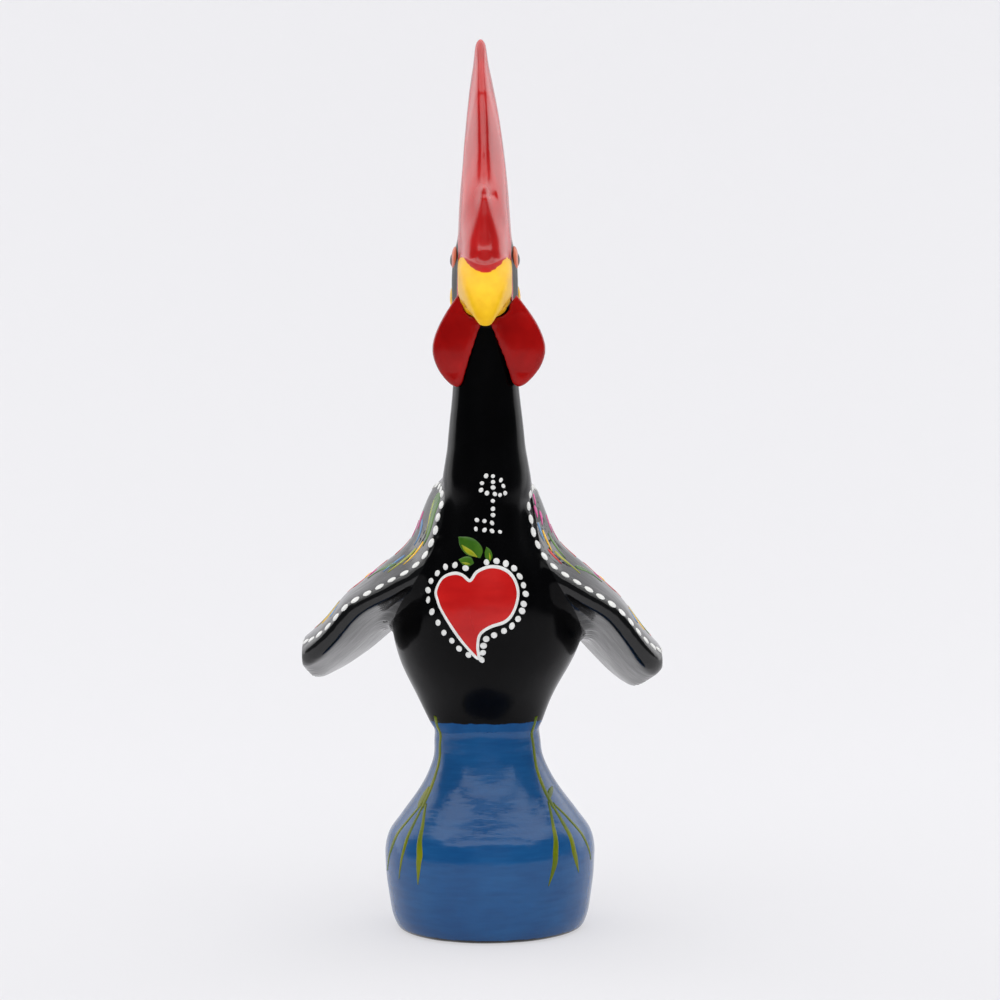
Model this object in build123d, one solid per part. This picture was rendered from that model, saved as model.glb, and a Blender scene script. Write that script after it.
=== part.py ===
from build123d import *
from math import atan2, cos, degrees, hypot, radians, sin, sqrt
import os

# A hand-built earthenware rooster that stands on a hollow bell foot.
# Millimetres, +Z up. The rooster faces -Y and its own left side is +X.
# The origin is the middle of the ring that the foot stands on.

# Foot: a thrown bell, open below, with a spigot that the body is set over
rest_radius = 28.0
belly_radius = 31.5
shoulder_radius = 14.0
flank_radius = 32.0
waist_radius = 15.0
waist_height = 59.5
collar_height = 2.0
foot_wall = 5.0
rest_edge_radius = 1.2
spigot_height = 6.0
spigot_clearance = 0.2
vent_radius = 2.5

# Body, neck and head: level sections from the seat up to the crown.
# Each section has a height above the last one, a half width, a front and a back.
body_wall = 5.0
seat_overhang = 0.6
hip_rise = 6.5
hip_half_width = 18.0
hip_front = -19.5
hip_back = 20.0
belly_rise = 11.0
belly_half_width = 23.9
belly_front = -28.0
belly_back = 34.0
breast_rise = 17.0
breast_half_width = 28.8
breast_front = -34.0
breast_back = 49.0
back_rise = 19.0
back_half_width = 20.5
back_front = -32.5
back_back = 42.0
neck_root_rise = 19.0
neck_root_half_width = 13.4
neck_root_front = -30.5
neck_root_back = 13.0
nape_rise = 14.0
nape_half_width = 11.3
nape_front = -29.5
nape_back = 1.0
neck_rise = 16.0
neck_half_width = 9.7
neck_front = -29.5
neck_back = -3.0
jaw_rise = 20.0
jaw_half_width = 9.6
jaw_front = -30.0
jaw_back = -3.0
brow_rise = 17.0
brow_half_width = 9.5
brow_front = -29.5
brow_back = -4.0
crown_rise = 9.0
crown_half_width = 6.4
crown_front = -25.0
crown_back = -9.0

# Wings: thick petals that hang from the neck root like a cape
wing_front = -27.0
wing_back = 36.0
wing_crown = 3.6
wing_belly = 16.0
wing_edge = 3.2
wing_edge_radius = 1.5
wing_root_sink = 0.6
wing_root_rise = 2.0
wing_shoulder_out = 3.0
wing_shoulder_rise = -1.0
wing_elbow_out = 38.0
wing_elbow_drop = 33.2
wing_tip_out = 55.0
wing_tip_drop = 51.0
wing_tip_slope = 34.0
left_wing_sag = 4.0
right_wing_sag = 0.0

# Tail: a slab in the middle plane with a scalloped fan edge
tail_half_thickness = 5.0
tail_edge_radius = 2.5
tail_corner_radius = 3.5
tail_reach = 46.0
tail_rise = 47.0
tail_mid_behind = 6.0
tail_mid_above = 35.0
tail_lobes = 5
tail_lobe_swell = 5.0
tail_first_angle = 105.0
tail_last_angle = -40.0
tail_root_depth = 20.0

# Comb: flames that fan out of one root inside the head
comb_root_sink = 13.0
comb_root_ahead = 1.5
comb_tip_radius = 1.6
tall_flame_lean = 10.0
tall_flame_rise = 80.0
tall_flame_half_thickness = 8.3
tall_flame_half_length = 18.0
nub_lean = -14.5
nub_rise = 34.0
nub_half_thickness = 3.2
nub_half_length = 6.0
second_flame_lean = 28.0
second_flame_rise = 62.0
second_flame_half_thickness = 6.8
second_flame_half_length = 13.0
third_flame_lean = 39.0
third_flame_rise = 43.0
third_flame_half_thickness = 6.2
third_flame_half_length = 11.0
last_flame_lean = 41.0
last_flame_rise = 23.0
last_flame_half_thickness = 5.5
last_flame_half_length = 9.5

# Beak: a broad hooked bill and a short lower bill, both let into the front of the head
beak_root_sink = 5.0
beak_length = 20.0
beak_half_width = 7.6
beak_lift = 8.5
beak_up = 10.0
beak_down = 8.5
beak_drop = 12.0
beak_tip_half_width = 1.7
lower_beak_length = 10.0
lower_beak_half_width = 6.0
lower_beak_lift = 3.0
lower_beak_depth = 3.6

# Wattles
wattle_splay = 28.0
wattle_thickness = 5.0
wattle_edge_radius = 1.8
wattle_corner_radius = 2.5
wattle_stand_off = 2.5
wattle_width = 16.4
wattle_above_jaw = 9.3
wattle_below_jaw = 21.5
wattle_throat_drop = 2.0

# Eyes and ears: clay pellets pressed on the sides of the head
eye_radius = 4.1
eye_bulge = 0.8
pupil_radius = 2.0
pupil_bulge = 0.9
pellet_sink = 0.5
ear_half_length = 3.2
ear_half_height = 4.0
ear_bulge = 0.9
ear_behind = 3.0
ear_above_jaw = 6.0

foot_height = waist_height + collar_height
seat_radius = waist_radius + seat_overhang
hip_height = foot_height + hip_rise
belly_height = hip_height + belly_rise
breast_height = belly_height + breast_rise
back_height = breast_height + back_rise
neck_root_height = back_height + neck_root_rise
nape_height = neck_root_height + nape_rise
neck_height = nape_height + neck_rise
jaw_height = neck_height + jaw_rise
brow_height = jaw_height + brow_rise
crown_height = brow_height + crown_rise

UPRIGHT = (Align.CENTER, Align.CENTER, Align.MIN)


def widest(front, back):
    """Where a level section of the body is widest: ahead of its middle."""
    return front + (back - front) / 2.6


def half_oval(height, half_width, front, back, shrink):
    """Left half of a level section of the body."""
    mid = widest(front, back)
    front_arc = EllipticalCenterArc((0, mid), half_width - shrink, mid - front - shrink, 270)
    back_arc = EllipticalCenterArc((0, mid), half_width - shrink, back - mid - shrink, 0)
    seam = Line(back_arc @ 1, front_arc @ 0)
    return Pos(0, 0, height) * make_face([front_arc, back_arc, seam])


def half_body(shrink):
    """Left half of the solid body, drawn in by the given amount."""
    return loft(
        [
            half_oval(foot_height, seat_radius, -seat_radius, seat_radius, shrink),
            half_oval(hip_height, hip_half_width, hip_front, hip_back, shrink),
            half_oval(belly_height, belly_half_width, belly_front, belly_back, shrink),
            half_oval(breast_height, breast_half_width, breast_front, breast_back, shrink),
            half_oval(back_height, back_half_width, back_front, back_back, shrink),
            half_oval(neck_root_height, neck_root_half_width, neck_root_front, neck_root_back, shrink),
            half_oval(nape_height, nape_half_width, nape_front, nape_back, shrink),
            half_oval(neck_height, neck_half_width, neck_front, neck_back, shrink),
            half_oval(jaw_height, jaw_half_width, jaw_front, jaw_back, shrink),
            half_oval(brow_height, brow_half_width, brow_front, brow_back, shrink),
            half_oval(crown_height - shrink, crown_half_width, crown_front, crown_back, shrink),
        ]
    )


def foot_outline(shrink):
    """Bell profile from the rest up to the waist, drawn in by the given wall."""
    flank_mid = waist_radius + flank_radius
    shoulder_mid = belly_radius - shoulder_radius
    reach = flank_radius + shoulder_radius
    drop = sqrt(reach**2 - (flank_mid - shoulder_mid) ** 2)
    shoulder_height = waist_height - drop
    inset = belly_radius - rest_radius
    side_radius = (shoulder_height**2 + inset**2) / (2 * inset)
    side_mid = belly_radius - side_radius
    flank = flank_radius + shrink
    shoulder = shoulder_radius - shrink
    side = side_radius - shrink
    low = (side_mid + sqrt(side**2 - shoulder_height**2), 0)
    half_way = (side_mid + sqrt(side**2 - (shoulder_height / 2) ** 2), shoulder_height / 2)
    side_arc = ThreePointArc(low, half_way, (belly_radius - shrink, shoulder_height))
    lean = (flank_mid - shoulder_mid) / reach
    rise = drop / reach
    meet = (shoulder_mid + shoulder * lean, shoulder_height + shoulder * rise)
    bisect = hypot(1 + lean, rise)
    swell = (
        shoulder_mid + shoulder * (1 + lean) / bisect,
        shoulder_height + shoulder * rise / bisect,
    )
    shoulder_arc = ThreePointArc(side_arc @ 1, swell, meet)
    hollow = (
        flank_mid - flank * (1 + lean) / bisect,
        waist_height - flank * rise / bisect,
    )
    flank_arc = ThreePointArc(meet, hollow, (waist_radius - shrink, waist_height))
    return [side_arc, shoulder_arc, flank_arc]


def seat_plug(height, clearance):
    """Round plug that fills the mouth of the body from the seat up."""
    radius = seat_radius - body_wall - clearance
    return Pos(0, 0, foot_height) * Cylinder(radius, height, align=UPRIGHT)


def make_foot():
    """Hollow bell with a floor at the waist, a spigot above it and a vent through both."""
    outer = foot_outline(0)
    collar = Line(outer[2] @ 1, (waist_radius, foot_height))
    top = Line(collar @ 1, (0, foot_height))
    axis = Line((0, foot_height), (0, 0))
    sole = Line((0, 0), outer[0] @ 0)
    bell = revolve(Plane.XZ * make_face(outer + [collar, top, axis, sole]), Axis.Z)
    inner = foot_outline(foot_wall)
    roof_height = foot_height - foot_wall
    roof = Line(inner[2] @ 1, (0, waist_height))
    core_axis = Line((0, waist_height), (0, 0))
    mouth = Line((0, 0), inner[0] @ 0)
    core = revolve(Plane.XZ * make_face(inner + [roof, core_axis, mouth]), Axis.Z)
    core = split(core, Plane.XY.offset(roof_height), keep=Keep.BOTTOM)
    spigot = seat_plug(spigot_height, spigot_clearance)
    vent = Cylinder(vent_radius, foot_height + spigot_height, align=UPRIGHT)
    foot = bell - core + spigot - vent
    rest_edges = foot.faces().sort_by(Axis.Z)[0].edges()
    return fillet(rest_edges, rest_edge_radius)


def egg(plane, right, left, up, down):
    """Closed egg-shaped section made of four quarter ellipses."""
    arcs = [
        EllipticalCenterArc((0, 0), right, up, 0),
        EllipticalCenterArc((0, 0), left, up, 90),
        EllipticalCenterArc((0, 0), left, down, 180),
        EllipticalCenterArc((0, 0), right, down, 270),
    ]
    return plane * make_face(arcs)


def wing_section(plane, back, front, up, down, edge):
    """Section across a wing: domed above, blunt in front, flat below and thin behind."""
    crown_back = EllipticalCenterArc((0, 0), back, up, 0)
    crown_front = EllipticalCenterArc((0, 0), front, up, 90)
    under = FilletPolyline(
        (-front, 0),
        (-front, -edge),
        (0, -down),
        radius=wing_edge_radius * edge / wing_edge,
    )
    under_back = EllipticalCenterArc((0, 0), back, down, 270)
    return plane * make_face([crown_back, crown_front, *under.edges(), under_back])


def make_wing(sag):
    """Left wing: sections strung along a line that bends out from the neck root."""
    slope = radians(wing_tip_slope)
    root_x = neck_root_half_width - wing_root_sink
    root_z = neck_root_height + wing_root_rise
    span = Spline(
        (root_x, root_z),
        (back_half_width + wing_shoulder_out, back_height + wing_shoulder_rise),
        (wing_elbow_out, neck_root_height - wing_elbow_drop),
        (wing_tip_out, neck_root_height - wing_tip_drop),
        tangents=[(0.58, -1), (cos(slope), -sin(slope))],
    )

    def section(share, front, back, up, down, edge):
        spot = span @ share
        ahead = span % share
        deepest = front + 0.4 * (back - front)
        plane = Plane(origin=(spot.X, deepest, spot.Y), x_dir=(0, 1, 0), z_dir=(ahead.X, 0, ahead.Y))
        return wing_section(
            plane,
            back - deepest,
            deepest - front,
            up * wing_crown,
            down * wing_belly,
            edge * wing_edge,
        )

    chord = wing_back - wing_front
    petal = loft(
        [
            section(0.0, wing_front + 0.12 * chord, wing_back - 0.62 * chord, 0.4, 0.3, 0.4),
            section(0.14, wing_front + 0.06 * chord, wing_back - 0.50 * chord, 0.65, 0.45, 0.7),
            section(0.30, wing_front + 0.03 * chord, wing_back - 0.34 * chord, 0.85, 0.6, 0.9),
            section(0.62, wing_front, wing_back - 0.05 * chord, 1.0, 0.92, 1.0),
            section(0.86, wing_front + 0.05 * chord, wing_back - 0.04 * chord, 1.1, 0.80, 1.0),
            section(0.95, wing_front + 0.11 * chord, wing_back - 0.16 * chord, 1.2, 0.70, 1.0),
            section(0.99, wing_front + 0.20 * chord, wing_back - 0.30 * chord, 0.8, 0.58, 0.8),
        ]
    )
    pivot = Pos(root_x, 0, root_z)
    return pivot * Rot(0, sag, 0) * pivot.inverse() * petal


def make_tail():
    """Fan slab whose root runs into the back of the body."""
    step = (tail_first_angle - tail_last_angle) / tail_lobes

    def rim(angle, swell):
        return (
            (tail_reach + swell) * cos(radians(angle)),
            (tail_rise + swell) * sin(radians(angle)),
        )

    lobes = []
    for number in range(tail_lobes):
        first = tail_first_angle - number * step
        crest = rim(first - step / 2, tail_lobe_swell)
        lobes.append(ThreePointArc(rim(first, 0), crest, rim(first - step, 0)))
    root_low = (
        -tail_mid_behind - 0.6 * tail_root_depth,
        -tail_mid_above - back_rise - 0.5 * tail_root_depth,
    )
    root_high = (
        -tail_mid_behind - 1.6 * tail_root_depth,
        -tail_mid_above - 0.15 * tail_root_depth,
    )
    under = Spline(rim(tail_last_angle, 0), root_low, tangents=[(-1, -0.6), (-1, -0.3)])
    root = Line(root_low, root_high)
    front = Spline(root_high, rim(tail_first_angle, 0), tangents=[(1, 0.6), (0.3, 1)])
    outline = make_face(lobes + [under, root, front])
    outline = fillet(outline.vertices(), tail_corner_radius)
    slab = extrude(Plane.YZ * outline, tail_half_thickness, both=True)
    slab = fillet(slab.faces().filter_by(Axis.X).edges(), tail_edge_radius)
    return Pos(0, back_back + tail_mid_behind, back_height + tail_mid_above) * slab


def flame(lean, rise, half_thickness, half_length):
    """Flattened pointed lobe that leans back and rises from the comb's root."""
    length = hypot(lean, rise)
    tip_mid = length - comb_tip_radius
    reach = (half_thickness**2 + tip_mid**2 - comb_tip_radius**2) / (2 * (half_thickness - comb_tip_radius))
    inward = reach - half_thickness
    away = hypot(inward, tip_mid)
    meet = (comb_tip_radius * inward / away, tip_mid + comb_tip_radius * tip_mid / away)
    half_way = (sqrt(reach**2 - (length / 2) ** 2) - inward, length / 2)
    side = ThreePointArc((half_thickness, 0), half_way, meet)
    cap_way = (comb_tip_radius * sin(radians(40)), tip_mid + comb_tip_radius * cos(radians(40)))
    cap = ThreePointArc(meet, cap_way, (0, length))
    axis = Line((0, length), (0, 0))
    sole = Line((0, 0), (half_thickness, 0))
    lobe = revolve(Plane.XZ * make_face([side, cap, axis, sole]), Axis.Z)
    lobe = scale(lobe, by=(1, half_length / half_thickness, 1))
    root_y = widest(brow_front, brow_back) - comb_root_ahead
    root_z = brow_height - comb_root_sink
    return Pos(0, root_y, root_z) * Rot(-degrees(atan2(lean, rise)), 0, 0) * lobe


def make_comb():
    tall = flame(tall_flame_lean, tall_flame_rise, tall_flame_half_thickness, tall_flame_half_length)
    nub = flame(nub_lean, nub_rise, nub_half_thickness, nub_half_length)
    second = flame(
        second_flame_lean, second_flame_rise, second_flame_half_thickness, second_flame_half_length
    )
    third = flame(third_flame_lean, third_flame_rise, third_flame_half_thickness, third_flame_half_length)
    last = flame(last_flame_lean, last_flame_rise, last_flame_half_thickness, last_flame_half_length)
    return tall.fuse(nub, second, third, last)


def bill_plane(y, z, droop):
    """Plane across a bill that faces forward and down."""
    return Plane(
        origin=(0, y, z),
        x_dir=(1, 0, 0),
        z_dir=(0, -cos(radians(droop)), -sin(radians(droop))),
    )


def shield(plane, half_width, up, down):
    """Section with a flat top, upright sides and a round bottom."""
    low_left = EllipticalCenterArc((0, 0), half_width, down, 180)
    low_right = EllipticalCenterArc((0, 0), half_width, down, 270)
    rim = FilletPolyline(
        (half_width, 0),
        (half_width, up),
        (-half_width, up),
        (-half_width, 0),
        radius=half_width / 3,
    )
    return plane * make_face([low_left, low_right, *rim.edges()])


def make_beak_upper():
    """Hooked bill whose root is buried in the front of the head."""
    root_z = jaw_height + beak_lift
    tip = beak_tip_half_width
    root = bill_plane(jaw_front + beak_root_sink, root_z, 0)
    bend = bill_plane(jaw_front - 0.43 * beak_length, root_z - 0.21 * beak_drop, 18)
    hook = bill_plane(jaw_front - 0.81 * beak_length, root_z - 0.58 * beak_drop, 42)
    point = bill_plane(jaw_front - beak_length, root_z - beak_drop, 60)
    return loft(
        [
            shield(root, beak_half_width, beak_up, beak_down),
            shield(bend, 0.95 * beak_half_width, 0.68 * beak_up, 0.64 * beak_down),
            shield(hook, 0.62 * beak_half_width, 0.40 * beak_up, 0.40 * beak_down),
            shield(point, tip, tip, tip),
        ]
    )


def make_beak_lower():
    """Short lower bill tucked under the hook."""
    root_z = jaw_height + lower_beak_lift
    depth = lower_beak_depth
    half_width = lower_beak_half_width
    root = bill_plane(jaw_front + beak_root_sink, root_z, 0)
    middle = bill_plane(jaw_front - 0.45 * lower_beak_length, root_z - 0.25 * depth, 15)
    point = bill_plane(jaw_front - lower_beak_length, root_z - 0.8 * depth, 30)
    return loft(
        [
            egg(root, half_width, half_width, depth, depth),
            egg(middle, 0.87 * half_width, 0.87 * half_width, 0.9 * depth, 0.8 * depth),
            egg(point, 0.3 * half_width, 0.3 * half_width, 0.3 * depth, 0.3 * depth),
        ]
    )


def make_wattle():
    """Left wattle: a drop-shaped slab that hangs under the beak and sweeps back."""
    splay = radians(wattle_splay)
    plane = Plane(
        origin=(0, jaw_front - wattle_stand_off, jaw_height),
        x_dir=(cos(splay), sin(splay), 0),
        z_dir=(sin(splay), -cos(splay), 0),
    )
    width = wattle_width / cos(splay)
    inner_top = (0.1 * width, -wattle_throat_drop)
    outer_top = (0.42 * width, wattle_above_jaw)
    bottom = (0.5 * width, -wattle_below_jaw)
    outer = Spline(
        outer_top,
        (0.92 * width, -0.17 * wattle_below_jaw),
        (width, -0.44 * wattle_below_jaw),
        (0.88 * width, -0.73 * wattle_below_jaw),
        bottom,
    )
    inner = Line(bottom, inner_top)
    top = Line(inner_top, outer_top)
    outline = make_face([outer, inner, top])
    outline = fillet(outline.vertices(), wattle_corner_radius)
    slab = extrude(plane * outline, -wattle_thickness)
    return fillet(slab.edges(), wattle_edge_radius)


def make_eye():
    """Left eye: a flat pellet with a bead for the pupil."""
    disc = scale(Sphere(1), by=(pellet_sink + eye_bulge, eye_radius, eye_radius))
    bead = Pos(eye_bulge, 0, 0) * scale(Sphere(1), by=(pupil_bulge, pupil_radius, pupil_radius))
    side = brow_half_width - pellet_sink
    return Pos(side, widest(brow_front, brow_back), brow_height) * (disc + bead)


def make_ear():
    """Left ear: an oval pellet below the eye."""
    pellet = scale(Sphere(1), by=(pellet_sink + ear_bulge, ear_half_length, ear_half_height))
    side = jaw_half_width - pellet_sink
    return Pos(side, widest(jaw_front, jaw_back) + ear_behind, jaw_height + ear_above_jaw) * pellet


# Every applied piece is cut to the surface that it is luted to.
solid_left = half_body(0)
body_left = solid_left - half_body(body_wall) - seat_plug(spigot_height + foot_wall, 0)
solid_body = solid_left + mirror(solid_left, Plane.YZ)
comb = make_comb() - solid_body
beak_upper = make_beak_upper() - solid_body - comb
beak_lower = make_beak_lower() - solid_body - comb - beak_upper
wattle_left = make_wattle() - solid_body - comb - beak_upper - beak_lower
eye_left = make_eye() - solid_body
ear_left = make_ear() - solid_body
wing_left = make_wing(left_wing_sag) - solid_body
wing_right = mirror(make_wing(right_wing_sag) - solid_body, Plane.YZ)
tail = make_tail() - solid_body

nodes = {
    "foot": make_foot(),
    "body_left": body_left,
    "body_right": mirror(body_left, Plane.YZ),
    "wing_left": wing_left,
    "wing_right": wing_right,
    "tail": tail,
    "comb": comb,
    "beak_upper": beak_upper,
    "beak_lower": beak_lower,
    "wattle_left": wattle_left,
    "wattle_right": mirror(wattle_left, Plane.YZ),
    "eye_left": eye_left,
    "eye_right": mirror(eye_left, Plane.YZ),
    "ear_left": ear_left,
    "ear_right": mirror(ear_left, Plane.YZ),
}

os.makedirs("parts", exist_ok=True)
for name, piece in nodes.items():
    export_step(piece, os.path.join("parts", name + ".step"))
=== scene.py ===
import math
import random

import bmesh
import bpy
from mathutils import Matrix, Vector, noise
from mathutils.bvhtree import BVHTree


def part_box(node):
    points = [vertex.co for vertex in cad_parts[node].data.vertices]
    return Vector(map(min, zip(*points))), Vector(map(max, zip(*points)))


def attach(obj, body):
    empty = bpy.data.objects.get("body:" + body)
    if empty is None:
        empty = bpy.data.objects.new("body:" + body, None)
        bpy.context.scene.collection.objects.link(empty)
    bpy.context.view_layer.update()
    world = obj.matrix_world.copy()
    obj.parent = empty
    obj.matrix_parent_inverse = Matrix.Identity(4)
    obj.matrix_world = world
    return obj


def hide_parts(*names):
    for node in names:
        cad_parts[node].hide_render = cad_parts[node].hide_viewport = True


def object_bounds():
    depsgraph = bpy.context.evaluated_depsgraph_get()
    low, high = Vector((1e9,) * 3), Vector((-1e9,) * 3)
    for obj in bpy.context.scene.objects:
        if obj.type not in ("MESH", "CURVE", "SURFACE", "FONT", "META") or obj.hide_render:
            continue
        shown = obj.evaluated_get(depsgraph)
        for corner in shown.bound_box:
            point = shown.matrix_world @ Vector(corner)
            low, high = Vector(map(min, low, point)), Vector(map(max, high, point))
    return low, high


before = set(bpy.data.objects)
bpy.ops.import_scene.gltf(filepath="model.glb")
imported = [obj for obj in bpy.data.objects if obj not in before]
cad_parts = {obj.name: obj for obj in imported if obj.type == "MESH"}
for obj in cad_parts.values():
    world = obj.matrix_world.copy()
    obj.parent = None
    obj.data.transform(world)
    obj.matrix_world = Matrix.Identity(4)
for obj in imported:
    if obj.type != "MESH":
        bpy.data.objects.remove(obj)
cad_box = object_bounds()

# Wings in damp clay: two thick petals of red earthenware, pressed flat in the hand before they go on.
# Each is turned in to the neck along its front edge, and its underside is flattened.
# An edge is given by how far down the slope it is, then how far back its front and its rear are, in mm.
mm = 0.001
skin_grain = 0.8 * mm
voxels = ("REMESH", {"mode": "VOXEL", "voxel_size": skin_grain, "use_smooth_shade": True})
wing_root_out, wing_root_up = 12.8, 136.0
wing_edges = [
    (0.0, -19.4, -3.1), (9.0, -23.2, 4.5), (19.4, -25.1, 14.6), (30.3, -26.4, 24.7), (41.2, -27.0, 32.9),
    (49.4, -25.7, 34.1), (57.7, -23.9, 33.5), (63.9, -20.1, 25.9), (66.6, -14.4, 17.1),
]
front_edge_turn = 4.8
tip_lift = 1.2


def node_mesh(*names):
    """One editable mesh with copies of these modelled nodes."""
    copies = bmesh.new()
    for name in names:
        copies.from_mesh(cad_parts[name].data)
    bmesh.ops.remove_doubles(copies, verts=copies.verts, dist=0.001 * mm)
    return copies


def worked(lump_mesh, *steps):
    """The mesh after a row of shaping steps, each a modifier and its settings."""
    mesh = bpy.data.meshes.new("clay")
    lump_mesh.to_mesh(mesh)
    lump_mesh.free()
    lump = bpy.data.objects.new("clay", mesh)
    bpy.context.scene.collection.objects.link(lump)
    for kind, settings in steps:
        step = lump.modifiers.new(kind.lower(), kind)
        for name, value in settings.items():
            setattr(step, name, value)
    shaped = bmesh.new()
    shaped.from_object(lump, bpy.context.evaluated_depsgraph_get())
    bpy.data.objects.remove(lump)
    bpy.data.meshes.remove(mesh)
    return shaped


def ease(value, low, high):
    """How far a value has come from low to high, gently at both ends."""
    share = max(0.0, min(1.0, (value - low) / (high - low)))
    return share * share * (3 - 2 * share)


def pressed_wing(name, side, tuck, thin, droop, reach):
    """One wing as the hand leaves it: tucked to the neck, thinned below, drooping and reaching at its tip."""
    wing = worked(node_mesh(name), voxels)
    wing.normal_update()
    root = Vector((side * wing_root_out, 0, wing_root_up)) * mm
    slope = Vector((side, 0, -1)).normalized()
    out = Vector((side, 0, 1)).normalized()
    for v in wing.verts:
        down, back = (v.co - root).dot(slope) / mm, v.co.y / mm
        low, high = wing_edges[0], wing_edges[1]
        for low, high in zip(wing_edges, wing_edges[1:]):
            if down < high[0]:
                break
        share = max(0.0, min(1.0, (down - low[0]) / (high[0] - low[0])))
        edge = low[1] + (high[1] - low[1]) * share
        chord = low[2] + (high[2] - low[2]) * share - edge
        along = max(0.0, min(1.0, (back - edge) / chord))
        spread = 2.0 * along if along < 0.4 else 0.80 + 0.333 * (along - 0.4)
        below = ease(-v.normal.dot(out), 0.0, 0.5)
        shift = tip_lift * ease(down, 34, 48) - tuck * ease(down, 26, 6)
        shift -= below * thin * math.sin(math.pi * spread) * ease(down, 15, 35)
        shift -= front_edge_turn * ease(back, -1, edge) * ease(down, 50, 18)
        shift -= droop * ease(down, 42, 64)
        v.co += (out * shift + slope * reach * ease(down, 40, 62)) * mm
        v.co.y += below * (spread - along) * chord * mm
    mesh = bpy.data.meshes.new(name)
    wing.to_mesh(mesh)
    wing.free()
    return mesh


wing_meshes = [
    pressed_wing("wing_left", 1, tuck=0.7, thin=1.8, droop=1.0, reach=1.6),
    pressed_wing("wing_right", -1, tuck=-0.6, thin=1.6, droop=1.0, reach=0.0),
]

# Joints in damp clay: foot, body halves, wings, tail, comb and upper bill are luted together with slip.
# They are wiped with a wet sponge, so the skin runs softly from piece to piece.
# There is most slip at the shoulders and on the brow, and the vent in the foot is left out of the skin.
joint_fill, shoulder_fill, brow_fill = 2.0, 7.0, 3.5
vent_up, vent_radius, vent_depth = 66.0 * mm, 4.0 * mm, 2.6 * mm
comb_from, brow_to, brow_behind = 203 * mm, 250 * mm, -21 * mm
comb_wipes, brow_wipes = 16, 24


def keep_outside(lump_mesh):
    """Drops the closed hollow inside the body, which nobody can see."""
    unseen = set(lump_mesh.verts)
    largest = set()
    while unseen:
        first = unseen.pop()
        island, edge = {first}, [first]
        while edge:
            for link in edge.pop().link_edges:
                for near in link.verts:
                    if near in unseen:
                        unseen.remove(near)
                        island.add(near)
                        edge.append(near)
        if len(island) > len(largest):
            largest = island
    bmesh.ops.delete(lump_mesh, geom=[v for v in lump_mesh.verts if v not in largest], context="VERTS")


def fill_joints(lump_mesh, way):
    """Swells the skin until the creases close, or draws it back."""
    lump_mesh.normal_update()
    for v in lump_mesh.verts:
        front, up = v.co.y / mm, v.co.z / mm
        shoulder = ease(up, 102, 126) * ease(up, 172, 146)
        brow = ease(up, 196, 206) * ease(up, 246, 230) * ease(front, -22, -29)
        depth = joint_fill + (shoulder_fill - joint_fill) * shoulder + (brow_fill - joint_fill) * brow
        v.co += v.normal * way * depth * mm


clay = node_mesh("foot", "body_left", "body_right", "tail", "comb", "beak_upper")
for mesh in wing_meshes:
    clay.from_mesh(mesh)
bmesh.ops.create_cone(
    clay,
    cap_ends=True,
    segments=24,
    radius1=vent_radius,
    radius2=vent_radius,
    depth=vent_depth,
    matrix=Matrix.Translation((0, 0, vent_up)),
)
clay = worked(clay, voxels)
keep_outside(clay)
fill_joints(clay, 1)
clay = worked(clay, voxels)
fill_joints(clay, -1)
clay = worked(clay, voxels, ("SMOOTH", {"factor": 0.5, "iterations": 7}))
keep_outside(clay)
flames = [v for v in clay.verts if v.co.z > comb_from]
brow = [v for v in flames if v.co.z < brow_to and v.co.y < brow_behind]
for wiped in [flames] * comb_wipes + [brow] * brow_wipes:
    bmesh.ops.smooth_vert(clay, verts=wiped, factor=0.5, use_axis_x=True, use_axis_y=True, use_axis_z=True)

# Comb in damp clay: its front is pinched to a ridge between finger and thumb.
# It leans a little to the bird's right, and has a nick in the ridge over the brow.
ridge_pinch, ridge_depth = 0.32, 11
comb_lean = 0.7
nick_depth, nick_aside, nick_up = 1.1, 1.2, 219.0
level_step = 2 * mm
nose = {}
for v in flames:
    level = round(v.co.z / level_step)
    nose[level] = min(nose.get(level, 0.0), v.co.y)
for v in flames:
    up = v.co.z / mm
    level = math.floor(v.co.z / level_step)
    share = v.co.z / level_step - level
    near = [nose.get(level + step, 0.0) for step in (-1, 0, 1, 2)]
    front = sum(near[:3]) / 3 * (1 - share) + sum(near[1:]) / 3 * share
    ridge = ease((v.co.y - front) / mm, ridge_depth, 0) * ease(up, 204, 214) * ease(up, 266, 258)
    v.co.x *= 1 - ridge_pinch * ridge
    v.co.x -= comb_lean * mm * ease(up, 225, 268)
    if v.co.y < -30 * mm:
        aside, above = (v.co.x / mm - nick_aside) / 2.2, (up - nick_up) / 0.9
        v.co.y += nick_depth * mm * math.exp(-(aside**2) - above**2)

# Foot in damp clay: a thrown bell, pulled wider over the table and drawn in to the waist.
# The waist is left a little fuller on the bird's right side.
# The bell is given by its radius at each height, in mm.
bell = [
    (0.0, 29.0), (6.9, 30.2), (11.5, 30.9), (16.0, 31.5), (20.6, 31.8), (25.1, 31.8), (29.7, 30.5),
    (34.2, 27.3), (38.8, 23.8), (43.3, 20.6), (47.9, 18.0), (52.4, 16.2), (57.0, 15.6), (62.0, 15.5),
]
waist_up, waist_reach, waist_fuller = 68, 14, 0.12


def eased(points, steps, closed=False):
    """A smooth line through these points."""
    row = [Vector(p) for p in points]
    row = [row[-1], *row, row[0], row[1]] if closed else [2 * row[0] - row[1], *row, 2 * row[-1] - row[-2]]
    line = []
    for a, b, c, d in zip(row, row[1:], row[2:], row[3:]):
        for number in range(steps):
            t = number / steps
            bend, turn = 2 * a - 5 * b + 4 * c - d, 3 * b - a - 3 * c + d
            line.append(0.5 * (2 * b + (c - a) * t + bend * t**2 + turn * t**3))
    return line if closed else line + [row[-2]]


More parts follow.
